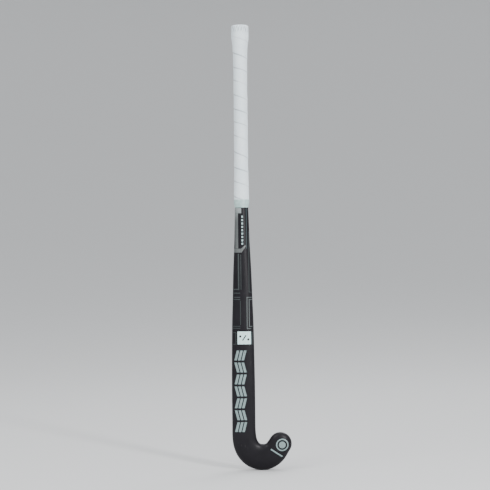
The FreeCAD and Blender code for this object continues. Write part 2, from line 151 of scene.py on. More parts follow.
def bendRate(s):
    # Curvature: eased in by a cosine, steady, eased out by a cosine
    easeIn, steady, easeOut = stick["bendEaseIn"], stick["bendSteady"], stick["bendEaseOut"]
    rising = 0.5 - 0.5 * np.cos(math.pi * s / easeIn)
    past = np.clip(s - easeIn - steady, 0.0, easeOut)
    falling = 0.5 + 0.5 * np.cos(math.pi * past / easeOut)
    return np.select([s < easeIn, s < easeIn + steady], [rising, 1.0], falling) / stick["bendRadius"]


hookLength = stick["bendEaseIn"] + stick["bendSteady"] + stick["bendEaseOut"] + stick["toeStraight"]
hookSteps = 1560


def walkHook():
    # Centre line of the hook: turn is the running sum of the curvature, place that of the heading
    step = hookLength / hookSteps
    rate = bendRate((np.arange(hookSteps) + 0.5) * step)
    turn = np.concatenate([[0.0], np.cumsum(rate * step)])
    middle = turn[:-1] + rate * step / 2.0
    x = np.concatenate([[0.0], np.cumsum(np.sin(middle) * step)])
    z = stick["bendStart"] - np.concatenate([[0.0], np.cumsum(np.cos(middle) * step)])
    return np.arange(hookSteps + 1) * step, x, z, turn


hookS, hookX, hookZ, hookTurn = walkHook()
hookLowest = float(hookS[np.argmax(hookTurn >= math.pi / 2.0)])


def stationAt(t):
    # Everything about a section at path place t: below 0 in the hook, above 0 up the shaft. Widths and depths
    # are blended by smooth steps in the hook and by the stations above it
    t = np.asarray(t, float)
    s = np.clip(-t, 0.0, hookLength)
    z = np.where(t >= 0.0, stick["bendStart"] + t, np.interp(s, hookS, hookZ))
    heel = stick["heelHalfWidth"]
    toHeel = stick["shaftHalfWidth"] + (heel - stick["shaftHalfWidth"]) * smoothStep(s / hookLowest)
    toToe = heel + (stick["toeHalfWidth"] - heel) * smoothStep((s - hookLowest) / (hookLength - hookLowest))
    inHook = t < 0.0
    headGain = stick["headBackDepth"] - stick["shaftBackDepth"]
    headBack = stick["shaftBackDepth"] + headGain * smoothStep(s / hookLowest)
    headHalf = np.where(s < hookLowest, toHeel, toToe)
    facePower, backPower = stick["facePower"], stick["backPower"]
    roundness = smoothStep((z - runHeight(stick["roundFrom"])) / (stick["roundRun"] * shaftRun))
    return {
        "x": np.where(inHook, np.interp(s, hookS, hookX), 0.0),
        "z": z,
        "turn": np.where(inHook, np.interp(s, hookS, hookTurn), 0.0),
        "half": np.where(inHook, headHalf, throughStations(widthStations, z)),
        "face": np.where(inHook, stick["faceDepth"], throughStations(faceStations, z)),
        "back": np.where(inHook, headBack, throughStations(backStations, z)),
        "facePower": np.where(inHook, facePower, facePower - (facePower - 2.0) * roundness),
        "backPower": np.where(inHook, backPower, backPower - (backPower - 2.0) * roundness),
    }


def sectionOutline(station, angle, grow):
    # Two half superellipses: flat-sided towards the face, rounded towards the back; angle 0 is the middle
    # of the face, a quarter turn the heel side, half a turn the middle of the back
    c, s = np.cos(angle), np.sin(angle)
    onFace = c >= 0.0
    power = np.where(onFace, station["facePower"], station["backPower"])
    depth = np.where(onFace, station["face"], station["back"]) + grow
    reach = (np.abs(s)**power + np.abs(c)**power) ** (-1.0 / power)
    across = (station["half"] + grow) * reach * s
    out = depth * reach * c
    # The face is planed flat up to the taper, with a softened edge
    limit = stick["faceDepth"] - stick["faceRelief"] + grow
    over = 0.5 * (out - limit + np.sqrt((out - limit)**2 + stick["planeEase"]))
    planed = np.where(station["z"] < runHeight(stick["planeTop"]), out - over, out)
    return across, planed


def placed(station, across, out):
    # From section coordinates to the stick's own, with the bow taken off by height
    x = station["x"] - across * np.cos(station["turn"])
    z = station["z"] - across * np.sin(station["turn"])
    return np.stack([x, out - bowAt(z), z], axis=-1)


def stickSurface(t, angle, grow=0.0):
    # The stick's outside, moved outwards by grow, at path place t and section angle
    station = stationAt(t)
    across, out = sectionOutline(station, angle, grow)
    return placed(station, across, out)


def toeSurface(fan, angle, grow=0.0):
    # The end section's half outline swung half a turn about the toe's centre
    station = stationAt(np.full(np.shape(fan), -hookLength))
    across, out = sectionOutline(station, angle, grow)
    turn = station["turn"]
    x = station["x"] + across * (-np.cos(fan) * np.cos(turn) + np.sin(fan) * np.sin(turn))
    z = station["z"] + across * (-np.cos(fan) * np.sin(turn) - np.sin(fan) * np.cos(turn))
    return np.stack([x, out - bowAt(z), z], axis=-1)


def gridOf(rows, columns):
    # Two arrays that hold every row value with every column value
    return np.meshgrid(rows, columns, indexing="ij")


def allRound(count):
    # Even angles once round, the first not repeated
    return np.linspace(0.0, 2.0 * math.pi, count + 1)[:-1]


skin = {
    "columns": 128,
    "hookRows": 150,
    "shaftRows": 300,
    "handleRows": 24,
    "underGrip": 12.0,       # fine rows go on this far under the grip
    "rimDrop": 6.0,          # from the butt down to the shell's rim
}


def skinRaw():
    # Rows from the toe to the rim, closer together in the hook
    shaftTop = gripLow + skin["underGrip"] - stick["bendStart"]
    rimTop = stick["length"] - skin["rimDrop"] - stick["bendStart"]
    hookRows = np.linspace(-hookLength, 0.0, skin["hookRows"])
    shaftRows = np.linspace(0.0, shaftTop, skin["shaftRows"])[1:]
    handleRows = np.linspace(shaftTop, rimTop, skin["handleRows"])[1:]
    return stickSurface(*gridOf(np.concatenate([hookRows, shaftRows, handleRows]), allRound(skin["columns"])))


skinPoints = skinRaw()
halfTurn = np.linspace(0.0, math.pi, skin["columns"] // 2 + 1)
toeProbe = toeSurface(*gridOf(halfTurn, halfTurn))
allPoints = np.concatenate([skinPoints.reshape(-1, 3), toeProbe.reshape(-1, 3)])
lowCad, highCad = [np.array(corner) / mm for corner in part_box("carbon_skin")]
lowRaw, highRaw = allPoints.min(0), allPoints.max(0)
# Move from the stick's own axes to the frame's, where the solids are: same middle, same lowest point
toFrame = np.append(((lowCad + highCad) - (lowRaw + highRaw))[:2] / 2.0, (lowCad - lowRaw)[2])
print("offset to frame, mm:", np.round(toFrame, 3))
print("size difference, mm:", np.round((highCad - lowCad) - (highRaw - lowRaw), 3))


def gridFaces(rows, columns, closedRows=False, closedColumns=False):
    # Quad corners for a grid of points, wrapping round where closed
    i = np.arange(rows if closedRows else rows - 1)
    j = np.arange(columns if closedColumns else columns - 1)
    i, j = [v.ravel() for v in gridOf(i, j)]
    i1, j1 = (i + 1) % rows, (j + 1) % columns
    return np.stack([i * columns + j, i * columns + j1, i1 * columns + j1, i1 * columns + j], axis=-1)


def makeMesh(name, points, faces, weld):
    # Points in metres become an object at the origin: doubles merged, faces turned outwards
    mesh = bpy.data.meshes.new(name)
    mesh.from_pydata(points.reshape(-1, 3).tolist(), [], faces.tolist())
    work = bmesh.new()
    work.from_mesh(mesh)
    bmesh.ops.remove_doubles(work, verts=work.verts, dist=weld)
    bmesh.ops.dissolve_degenerate(work, edges=work.edges, dist=1e-8)
    bmesh.ops.recalc_face_normals(work, faces=work.faces)
    work.to_mesh(mesh)
    work.free()
    piece = bpy.data.objects.new(name, mesh)
    bpy.context.scene.collection.objects.link(piece)
    return piece


def makePiece(name, points, faces, weld=0.0005, smooth=True):
    # Points in mm in the stick's axes are moved to the frame's and made a mesh; weld is in mm
    piece = makeMesh(name, (points.reshape(-1, 3) + toFrame) * mm, faces, weld * mm)
    if smooth:
        piece.data.shade_smooth()
    return piece


def stacked(*parts):
    # Several (points, faces) parts as one: face numbers are raised by the points before them
    points, faces, count = [], [], 0
    for p, f in parts:
        p = p.reshape(-1, 3)
        points.append(p)
        faces.append(f + count)
        count += len(p)
    return np.concatenate(points), np.concatenate(faces)


def addAttribute(piece, name, values):
    # One number for each point, for the materials to read
    layer = piece.data.attributes.new(name, "FLOAT", "POINT")
    layer.data.foreach_set("value", np.asarray(values, np.float32))


def pointsOf(piece):
    # The piece's points back in mm in the stick's axes
    flat = np.empty(len(piece.data.vertices) * 3)
    piece.data.vertices.foreach_get("co", flat)
    return flat.reshape(-1, 3) / mm - toFrame


# Shell: the long tube, the toe's fan and the rim's disc
fanSteps = np.linspace(0.0, math.pi, 49)
toeFan = toeSurface(*gridOf(fanSteps, halfTurn))
rimRow = skinPoints[-1]
rimShares = np.array([0.0, 0.25, 0.6, 1.0])
rimDisc = rimRow + (rimRow.mean(0) - rimRow) * rimShares[:, None, None]
shell = makePiece("stickShell", *stacked(
    (skinPoints, gridFaces(len(skinPoints), skin["columns"], closedColumns=True)),
    (toeFan, gridFaces(len(fanSteps), len(halfTurn))),
    (rimDisc, gridFaces(len(rimShares), skin["columns"], closedColumns=True))), weld=0.002)
print("shell", len(shell.data.polygons))

# Wound grip
grip = {
    "thickness": 1.75,
    "clearance": 0.35,       # between the shell and the grip's inside
    "knobFlare": 5.55,
    "knobLength": 41.0,
    "rimRadius": 4.0,
    "holeRadius": 5.1,
    "wrapPitch": 30.0,       # height gained by each turn
    "ridge": 0.5,            # how far an overlap stands up
    "crease": 0.34,          # how deep the groove beside it is
    "pleats": 17,            # folds gathered round the butt
    "pleatDepth": 0.42,
    "columns": 144,
    "rows": 620,
}
knobLow = stick["length"] - grip["knobLength"]
gripStations = [
    (gripLow, 0.6), (gripLow + 5.0, grip["thickness"]), (knobLow - 56.0, grip["thickness"]),
    (knobLow - 34.0, grip["thickness"] + 0.4), (knobLow - 9.0, grip["thickness"] + 1.1),
    (knobLow + 7.0, grip["thickness"] + 2.6), (knobLow + 14.0, grip["knobFlare"] - 0.1),
    (knobLow + 20.0, grip["knobFlare"]),
]


def wrapTurns(angle, z):
    # Turns wound so far: height over pitch plus the angle gone round, with the unevenness of hand winding
    uneven = 0.10 * np.sin(z / 41.0) + 0.06 * np.sin(z / 17.0 + 1.3)
    return (z - gripLow) / grip["wrapPitch"] + angle / (2.0 * math.pi) + uneven


def wrapRelief(angle, z):
    # Each turn starts with a ridge that sinks away along the turn, and ends in a narrow groove
    turns = wrapTurns(angle, z)
    part = turns - np.floor(turns)
    number = np.floor(turns)
    strength = 0.75 + 0.5 * np.sin(number * 2.4 + 0.7)**2
    ridge = grip["ridge"] * strength * np.exp(-part / 0.2) * smoothStep(part / 0.05)
    groove = np.exp(-(np.minimum(part, 1.0 - part) / 0.04)**2)
    # Through the crease attribute this also sets the tape's painted crease shade, so that shade is stronger
    # on one side
    groove *= 0.25 + 0.75 * smoothStep(0.3 + 0.7 * np.sin(angle - 0.35 + 1.1 * np.sin(number * 1.7)))
    fade = smoothStep((z - gripLow - 4.0) / 10.0) * smoothStep((stick["length"] - 16.0 - z) / 22.0)
    return (ridge - grip["crease"] * strength * groove) * fade, groove * fade


def foldWave(angle, z):
    # Two sets of folds lean across each other and crowd unevenly round the butt, -1 to 1
    fromTop = stick["length"] - z
    crowd = 1.6 * np.sin(2.0 * angle) + 0.7 * np.sin(5.0 * angle)
    leaning = np.cos(grip["pleats"] * angle + crowd + 0.34 * fromTop)
    crossing = np.cos((grip["pleats"] - 6) * angle - 1.4 * np.sin(3.0 * angle) - 0.28 * fromTop)
    return 0.6 * leaning + 0.4 * crossing


def pleatRelief(angle, z):
    # Folds round the butt, strongest at the rim and uneven from one to the next
    wave = foldWave(angle, z)
    rise = smoothStep((z - stick["length"] + 16.0) / 10.0)
    return grip["pleatDepth"] * (np.abs(wave)**0.6 * np.sign(wave) - 0.6) * rise


def handFlow(angle, z):
    # Broad shallow unevenness of the padding
    return (0.10 * np.sin(3.0 * angle + z / 23.0) * np.sin(z / 13.0 + 2.0 * angle)
            + 0.07 * np.sin(5.0 * angle - z / 9.0 + 1.0))


def gripSide(z, angle):
    # The grip's outside: the stick grown by the tape, its relief and its folds, less the rim's rounding
    past = np.clip(z - (stick["length"] - grip["rimRadius"]), 0.0, grip["rimRadius"])
    rounding = grip["rimRadius"] - np.sqrt(grip["rimRadius"]**2 - past**2)
    relief = wrapRelief(angle, z)[0]
    soft = smoothStep((z - gripLow - 2.0) / 8.0)
    padding = relief + pleatRelief(angle, z) + handFlow(angle, z) * soft
    grow = throughStations(gripStations, z) - rounding + padding
    return stickSurface(z - stick["bendStart"], angle, grow)


def makeGrip():
    # A closed sleeve: up the outside, over the rounded rim, in across the butt, down the hole, back inside
    rimLow = stick["length"] - grip["rimRadius"]
    rimHeights = rimLow + grip["rimRadius"] * np.sin(np.linspace(0, math.pi / 2, 12))[1:]
    heights = np.concatenate([np.linspace(gripLow, rimLow, grip["rows"]), rimHeights])
    angles = allRound(grip["columns"])
    outside = gripSide(*gridOf(heights, angles))
    axisPoint = np.array([0.0, -float(bowAt(stick["length"])), stick["length"]])
    rim = outside[-1]
    hole = axisPoint + grip["holeRadius"] * np.stack([-np.sin(angles), np.cos(angles), 0 * angles], axis=-1)
    share = np.linspace(0.0, 1.0, 22)[1:, None, None]
    butt = rim + (hole - rim) * share
    fold = foldWave(angles, stick["length"])
    sink = grip["pleatDepth"] * 1.2 * (np.abs(fold)**0.5 * np.sign(fold) - 1.0) * 0.5
    butt[:, :, 2] += sink[None, :] * np.sin(math.pi * share[:, :, 0]**0.7) - 0.35 * share[:, :, 0]**2
    down = np.stack([hole - [0, 0, d] for d in (0.8, 1.6)])
    upper = np.array([stick["length"] - 2.0, knobLow + 20.0, knobLow, knobLow - 60.0])
    lower = gripLow + np.array([208.0, 128.0, 68.0, 38.0, 18.0, 0.0])
    z, a = gridOf(np.concatenate([upper, lower]), angles)
    inside = stickSurface(z - stick["bendStart"], a, grip["clearance"])
    points = np.concatenate([outside, butt, down, inside])
    faces = gridFaces(len(points), len(angles), closedRows=True, closedColumns=True)
    return makePiece("gripWrap", points, faces)


gripPiece = makeGrip()


def angleRound(p):
    # Section angle of points on the handle: from across over the half width and out over the half depth
    station = stationAt(p[:, 2] - stick["bendStart"])
    out = p[:, 1] + bowAt(p[:, 2])
    return np.arctan2(-p[:, 0] / station["half"], out / station["back"]) % (2.0 * math.pi)


def gripAttributes(piece):
    # Per point: how deep in a crease it is, and how deep in a fold of the butt, for the painted shade in the
    # tape's colour
    p = pointsOf(piece)
    angle = angleRound(p)
    addAttribute(piece, "crease", wrapRelief(angle, p[:, 2])[1])
    fold = foldWave(angle, p[:, 2])
    fromTop = stick["length"] - p[:, 2]
    band = smoothStep((18.0 - fromTop) / 7.0) * (0.35 + 0.65 * smoothStep((fromTop - 2.0) / 4.0))
    addAttribute(piece, "fold", smoothStep(0.35 - fold) * band)


gripAttributes(gripPiece)
print("grip", len(gripPiece.data.polygons))

# Finishing tape
finish = {
    "belowGrip": 5.0,
    "width": 16.4,
    "thickness": 0.35,
    "turnHeight": 5.4,       # from one turn's edge to the next
    "turnDrift": 0.9,        # how far an edge climbs in half a turn
    "turnStep": 0.07,        # how far an edge stands up
    "slack": 0.08,
    "columns": 144,
}
finishLow = gripLow - finish["belowGrip"]
finishHigh = finishLow + finish["width"]
overGrip = grip["thickness"] + 0.05 + finish["thickness"]
finishStations = [
    (finishLow, finish["thickness"]), (gripLow - 2.5, finish["thickness"] + 0.2),
    (gripLow - 0.5, 3.0 * finish["thickness"]), (gripLow + 5.0, overGrip), (finishHigh, overGrip),
]


def turnEdges(angle, z):
    # Height above the first and the second turn's edge, which climb evenly with the angle
    edge = finish["turnHeight"] + finish["turnDrift"] * angle / math.pi
    return [z - finishLow - k * edge for k in (1, 2)]


def makeFinishingTape():
    # Outside follows the grip's lower edge; each turn's edge is a small step that climbs round the handle
    angles = allRound(finish["columns"])
    z, a = gridOf(np.linspace(finishLow, finishHigh, 56), angles)
    steps = finish["turnStep"] * sum(smoothStep(above / 0.5) for above in turnEdges(a, z))
    crinkle = finish["slack"] * np.sin(9.0 * a + z / 1.7) * np.sin(z / 3.1 + 2.0 * a)
    crinkle *= smoothStep((z - finishLow) / 3.0) * smoothStep((finishHigh - z) / 3.0)
    grow = throughStations(finishStations, z) + steps + crinkle
    outside = stickSurface(z - stick["bendStart"], a, grow)
    z, a = gridOf([finishHigh, finishHigh - 3.0, gripLow + 4.0, gripLow - 1.0, finishLow], angles)
    insideGrow = np.array([grip["thickness"] + 0.3, grip["thickness"], 0.9, 0.1, -0.05])[:, None]
    inside = stickSurface(z - stick["bendStart"], a, insideGrow)
    points = np.concatenate([outside, inside])
    faces = gridFaces(len(points), len(angles), closedRows=True, closedColumns=True)
    piece = makePiece("finishingTape", points, faces)
    p = pointsOf(piece)
    line = sum(np.exp(-(above / 0.35)**2) for above in turnEdges(angleRound(p), p[:, 2]))
    addAttribute(piece, "turnLine", line)
    return piece


tapePiece = makeFinishingTape()
print("finishing tape", len(tapePiece.data.polygons))

# Printed films
print("prints")
ink = {"lift": 0.12, "root": -0.05, "line": 1.4, "mesh": 1.3, "roundColumns": 72}


def locate(x, z):
    # Section place and distance from the centre line for points given by x and height: straight above the
    # bend, and below it from the nearest point of the hook's centre line; past the toe's centre the distance
    # is measured from that centre
    t = z - stick["bendStart"]
    off = -x
    low = t < 0.0
    if low.any():
        px, pz = x[low], z[low]
        thin = 4
        apart = (px[:, None] - hookX[None, ::thin])**2 + (pz[:, None] - hookZ[None, ::thin])**2
        nearest = np.argmin(apart, axis=1) * thin
        turn = hookTurn[nearest]
        s = hookS[nearest] + (px - hookX[nearest]) * np.sin(turn) - (pz - hookZ[nearest]) * np.cos(turn)
        turn = np.interp(s, hookS, hookTurn)
        cx, cz = np.interp(s, hookS, hookX), np.interp(s, hookS, hookZ)
        side = -(px - cx) * np.cos(turn) - (pz - cz) * np.sin(turn)
        fromToe = np.hypot(px - hookX[-1], pz - hookZ[-1])
        t[low] = -np.clip(s, 0.0, hookLength)
        off[low] = np.where(s > hookLength, fromToe, side)
    return t, off


def onBack(x, z, lift):
    # The point of the rounded back at x and height z, raised by lift: the superellipse solved for its depth
    t, off = locate(x.ravel(), z.ravel())
    station = stationAt(t)
    share = np.clip(np.abs(off) / (station["half"] + lift), 0.0, 0.995)
    power = station["backPower"]
    out = -(station["back"] + lift) * (1.0 - share**power) ** (1.0 / power)
    return np.stack([x, out.reshape(x.shape) - bowAt(z), z], axis=-1)


def filmSlab(corners, lift=None):
    # Four corners filled with a grid laid on the back, closed by a rim and an underside: points and faces
    lift = ink["lift"] if lift is None else lift
    a, b, c, d = [np.array(p, float) for p in corners]
    wide = int(max(np.linalg.norm(b - a), np.linalg.norm(c - d)) / ink["mesh"]) + 2
    tall = int(max(np.linalg.norm(d - a), np.linalg.norm(c - b)) / ink["mesh"]) + 2
    u, v = [w[..., None] for w in gridOf(np.linspace(0, 1, wide), np.linspace(0, 1, tall))]
    flat = (1 - u) * (1 - v) * a + u * (1 - v) * b + u * v * c + (1 - u) * v * d
    top = onBack(flat[..., 0], flat[..., 1], lift)
    under = onBack(flat[..., 0], flat[..., 1], ink["root"])
    loop = np.concatenate([top, under[:, ::-1]], axis=1)
    faces = [gridFaces(wide, 2 * tall, closedColumns=True)]
    # The two open ends: each quad joins a step of the top to the same step of the underside
    j = np.arange(tall - 1)
    for first in (0, (wide - 1) * 2 * tall):
        last = first + 2 * tall - 1
        faces.append(np.stack([first + j, first + j + 1, last - 1 - j, last - j], axis=-1))
    return loop, np.concatenate(faces)


def filmRound(x, z, inner, outer, lift=None):
    # A ring or disc laid on the back: a closed profile carried round its centre
    lift = ink["lift"] if lift is None else lift
    radii = np.linspace(inner, outer, max(3, int((outer - inner) / ink["mesh"]) + 2))
    r, a = gridOf(radii, allRound(ink["roundColumns"]))
    top = onBack(x + r * np.cos(a), z + r * np.sin(a), lift)
    under = onBack(x + r * np.cos(a), z + r * np.sin(a), ink["root"])
    points = np.concatenate([top, under[::-1]])
    return points, gridFaces(len(points), ink["roundColumns"], closedRows=inner > 0.0, closedColumns=True)


def acrossAt(share):
    # Place across the shaft: -1 at its left edge, 1 at its right
    return share * stick["shaftHalfWidth"]


def upAt(share):
    # Height up the printed part: 0 at the bend, 1 at the finishing tape
    return stick["bendStart"] + share * (finishLow - stick["bendStart"])


def rodSlab(x0, z0, x1, z1, width, lift=None):
    # A straight line of the given width between two places
    length = math.hypot(x1 - x0, z1 - z0)
    nx, nz = -(z1 - z0) / length * width / 2.0, (x1 - x0) / length * width / 2.0
    return filmSlab([(x0 + nx, z0 + nz), (x1 + nx, z1 + nz), (x1 - nx, z1 - nz), (x0 - nx, z0 - nz)], lift)


def barSlab(u0, v0, u1, v1, width=ink["line"]):
    # The same between places given as shares
    return rodSlab(acrossAt(u0), upAt(v0), acrossAt(u1), upAt(v1), width)


def shareSlab(*corners):
    # A four-cornered patch, its corners given as shares
    return filmSlab([(acrossAt(u), upAt(v)) for u, v in corners])


def patchSlab(u0, v0, u1, v1):
    # An upright patch between two opposite corners
    return shareSlab((u0, v0), (u1, v0), (u1, v1), (u0, v1))


window = {"marks": 9, "left": -0.04, "right": 0.10, "low": 0.828, "pitch": 0.0156, "height": 0.009}


def windowMark(number):
    # One small block of the column, each a pitch above the last
    low = window["low"] + window["pitch"] * number
    return patchSlab(window["left"], low, window["right"], low + window["height"])


# Lines and patches by group, as shares across and up the printed part
prints = {
    "flank_panel": [
        patchSlab(-0.58, 0.9735, -0.04, 0.998),
        patchSlab(-0.58, 0.811, -0.32, 0.9730),
        shareSlab((-0.68, 0.792), (-0.04, 0.792), (-0.10, 0.810), (-0.68, 0.810)),
        shareSlab((-0.04, 0.792), (0.35, 0.824), (0.23, 0.824), (-0.10, 0.810)),
    ],
    "window_outline": [barSlab(0.39, 0.810, 0.39, 0.998, 1.2)],
    "window_marks": [windowMark(number) for number in range(window["marks"])],
    "upper_frame_left": [
        barSlab(-0.32, 0.787, -0.32, 0.620, 2.6), barSlab(-0.76, 0.6222, -0.375, 0.6222, 2.0),
        barSlab(-0.12, 0.783, -0.12, 0.621, 1.2),
        barSlab(-0.77, 0.605, -0.20, 0.605), barSlab(-0.77, 0.586, -0.20, 0.586),
        barSlab(-0.78, 0.576, -0.20, 0.576),
    ],
    "upper_frame_right": [barSlab(0.56, 0.889, 0.56, 0.6075), barSlab(0.59, 0.609, 0.79, 0.609)],
    "lower_frame_right": [
        barSlab(0.37, 0.587, 0.37, 0.439), barSlab(0.399, 0.585, 0.80, 0.585),
        barSlab(0.399, 0.441, 0.70, 0.441), barSlab(0.56, 0.577, 0.56, 0.449),
        barSlab(0.589, 0.575, 0.80, 0.575), barSlab(0.589, 0.451, 0.80, 0.451),
    ],
    "lower_frame_left": [
        barSlab(-0.86, 0.452, -0.21, 0.452), barSlab(-0.86, 0.443, -0.21, 0.443),
        barSlab(-0.19, 0.570, -0.19, 0.458, 1.2),
    ],
    "badge_brackets": [
        barSlab(-0.60, 0.425, -0.60, 0.367), barSlab(-0.82, 0.423, -0.63, 0.423),
        barSlab(-0.84, 0.369, -0.63, 0.369), barSlab(0.835, 0.425, 0.835, 0.367),
    ],
}

badge = {"width": 27.8, "height": 26.2, "across": 0.11, "up": 0.3985, "markLift": 0.16}
badgeX, badgeZ = acrossAt(badge["across"]), upAt(badge["up"])
badgeCorners = [(badgeX + side * badge["width"] / 2.0, badgeZ + end * badge["height"] / 2.0)
                for side, end in ((-1, -1), (1, -1), (1, 1), (-1, 1))]
prints["square_badge"] = [filmSlab(badgeCorners)]
dotX, dotZ, dotRadius = 0.3 * badge["width"], 0.12 * badge["height"], 0.085 * badge["width"]
slashX, slashZ = 0.13 * badge["width"], 0.21 * badge["height"]
prints["square_badge_marks"] = [
    filmRound(badgeX - dotX, badgeZ + dotZ, 0.0, dotRadius, badge["markLift"]),
    filmRound(badgeX + dotX, badgeZ - dotZ, 0.0, dotRadius, badge["markLift"]),
    rodSlab(badgeX - slashX, badgeZ - slashZ, badgeX + slashX, badgeZ + slashZ, dotRadius,
            badge["markLift"]),
]

tiles = {
    "count": 7,
    "top": 0.3176,           # middle of the first, as a share up
    "pitch": 0.0555,
    "fill": 0.82,            # share of the pitch that a tile takes
    "centre": -0.235,
    "barStep": 0.305,
    "bar": 0.7,              # share of the step that a bar takes
}


def tileBars(number):
    # Three slanted bars side by side, leaning the other way on every second tile
    pitch = upAt(tiles["pitch"]) - upAt(0.0)
    step = acrossAt(tiles["barStep"])
    middle = upAt(tiles["top"]) - number * pitch
    low, high = middle - tiles["fill"] / 2.0 * pitch, middle + tiles["fill"] / 2.0 * pitch
    half = tiles["bar"] / 2.0 * step
    slant = half if number % 2 == 0 else -half
    bars = []
    for k in (-1, 0, 1):
        x = acrossAt(tiles["centre"]) + k * step
        bars.append(filmSlab([(x - half - slant, low), (x + half - slant, low),
                              (x + half + slant, high), (x - half + slant, high)]))
    return bars


prints["shaft_motifs"] = [bar for number in range(tiles["count"]) for bar in tileBars(number)]

toeMark = {
    "radius": 13.0, "across": 3.9, "down": 1.4,
    "ringInner": 0.8, "disc": 0.54,                     # shares of the radius
    "barFrom": (-23.9, -8.8), "barTo": (0.1, -24.7),    # from the ring's centre
}
ringX, ringZ, ringR = hookX[-1] + toeMark["across"], hookZ[-1] - toeMark["down"], toeMark["radius"]
(fromX, fromZ), (toX, toZ) = toeMark["barFrom"], toeMark["barTo"]
prints["toe_badge"] = [filmRound(ringX, ringZ, toeMark["ringInner"] * ringR, ringR),
                       filmRound(ringX, ringZ, 0.0, toeMark["disc"] * ringR)]
prints["toe_bar"] = [rodSlab(ringX + fromX, ringZ + fromZ, ringX + toX, ringZ + toZ, 2.0 * ink["line"])]

printPieces = {}
for node, parts in prints.items():
    printPieces[node] = makePiece(node + "_print", *stacked(*parts), smooth=False)

# Shared shading groups
print("materials")


def startGroup(name, inputs, outputs):
    # An empty group with its number sockets, and its two end nodes
    group = bpy.data.node_groups.new(name, "ShaderNodeTree")
    for label, value in inputs.items():
        socket = group.interface.new_socket(label, in_out="INPUT", socket_type="NodeSocketFloat")
        socket.default_value = value
    for label in outputs:
        group.interface.new_socket(label, in_out="OUTPUT", socket_type="NodeSocketFloat")
    return group, group.nodes.new("NodeGroupInput"), group.nodes.new("NodeGroupOutput")


def addNode(tree, kind, values=None, **settings):
    # A node with its settings and its unlinked inputs filled in
    node = tree.nodes.new(kind)
    for key, value in settings.items():
        setattr(node, key, value)
    for key, value in (values or {}).items():
        node.inputs[key].default_value = value
    return node


def objectPlace(tree, stretch=(1.0, 1.0, 1.0)):
    # Object coordinates through a Mapping node
    place = tree.nodes.new("ShaderNodeTexCoord")
    mapping = addNode(tree, "ShaderNodeMapping", {"Scale": stretch})
    tree.links.new(place.outputs["Object"], mapping.inputs["Vector"])
    return mapping.outputs["Vector"]


def makeGrainGroup():
    # Fine grain: one noise at the given scale, out as a height and as a soft 0 to 1 mask
    group, source, sink = startGroup("fineGrain", {"Scale": 900.0, "Detail": 3.0}, ["Height", "Mask"])
    noise = addNode(group, "ShaderNodeTexNoise", {"Roughness": 0.6})
    ramp = addNode(group, "ShaderNodeMapRange", {"From Min": 0.35, "From Max": 0.65})
    group.links.new(objectPlace(group), noise.inputs["Vector"])
    group.links.new(source.outputs["Scale"], noise.inputs["Scale"])
    group.links.new(source.outputs["Detail"], noise.inputs["Detail"])
    group.links.new(noise.outputs["Fac"], ramp.inputs["Value"])
    group.links.new(noise.outputs["Fac"], sink.inputs["Height"])
    group.links.new(ramp.outputs["Result"], sink.inputs["Mask"])
    return group


def makeScuffGroup():
    # Scuffs: long thin noise streaks kept only inside broad patches
    group, source, sink = startGroup("scuffMarks", {"Amount": 0.5}, ["Mask"])
    streak = addNode(group, "ShaderNodeTexNoise", {"Scale": 260.0, "Detail": 2.0, "Roughness": 0.7})
    patch = addNode(group, "ShaderNodeTexNoise", {"Scale": 24.0, "Detail": 2.0})
    group.links.new(objectPlace(group, (1.0, 1.0, 0.12)), streak.inputs["Vector"])
    group.links.new(objectPlace(group), patch.inputs["Vector"])
    thin = addNode(group, "ShaderNodeMapRange", {"From Min": 0.66, "From Max": 0.74})
    wide = addNode(group, "ShaderNodeMapRange", {"From Min": 0.50, "From Max": 0.66})
    both = addNode(group, "ShaderNodeMath", operation="MULTIPLY")
    scaled = addNode(group, "ShaderNodeMath", operation="MULTIPLY")
    group.links.new(streak.outputs["Fac"], thin.inputs["Value"])
    group.links.new(patch.outputs["Fac"], wide.inputs["Value"])
    group.links.new(thin.outputs["Result"], both.inputs[0])
    group.links.new(wide.outputs["Result"], both.inputs[1])
    group.links.new(both.outputs["Value"], scaled.inputs[0])
    group.links.new(source.outputs["Amount"], scaled.inputs[1])
    group.links.new(scaled.outputs["Value"], sink.inputs["Mask"])
    return group


def makeDustGroup():
    # Dust: small round specks at scattered cell centres, thinned by a broad noise
    group, source, sink = startGroup("dustSpecks", {"Scale": 420.0, "Size": 0.12}, ["Mask"])
    cells = addNode(group, "ShaderNodeTexVoronoi", {"Randomness": 1.0})
    speck = addNode(group, "ShaderNodeMath", operation="LESS_THAN")
    patch = addNode(group, "ShaderNodeTexNoise", {"Scale": 60.0, "Detail": 3.0})
    few = addNode(group, "ShaderNodeMapRange", {"From Min": 0.52, "From Max": 0.70})
    both = addNode(group, "ShaderNodeMath", operation="MULTIPLY")
    vector = objectPlace(group)
    group.links.new(vector, cells.inputs["Vector"])
    group.links.new(vector, patch.inputs["Vector"])
    group.links.new(source.outputs["Scale"], cells.inputs["Scale"])
    group.links.new(cells.outputs["Distance"], speck.inputs[0])
    group.links.new(source.outputs["Size"], speck.inputs[1])
    group.links.new(patch.outputs["Fac"], few.inputs["Value"])
    group.links.new(speck.outputs["Value"], both.inputs[0])
    group.links.new(few.outputs["Result"], both.inputs[1])
    group.links.new(both.outputs["Value"], sink.inputs["Mask"])
    return group


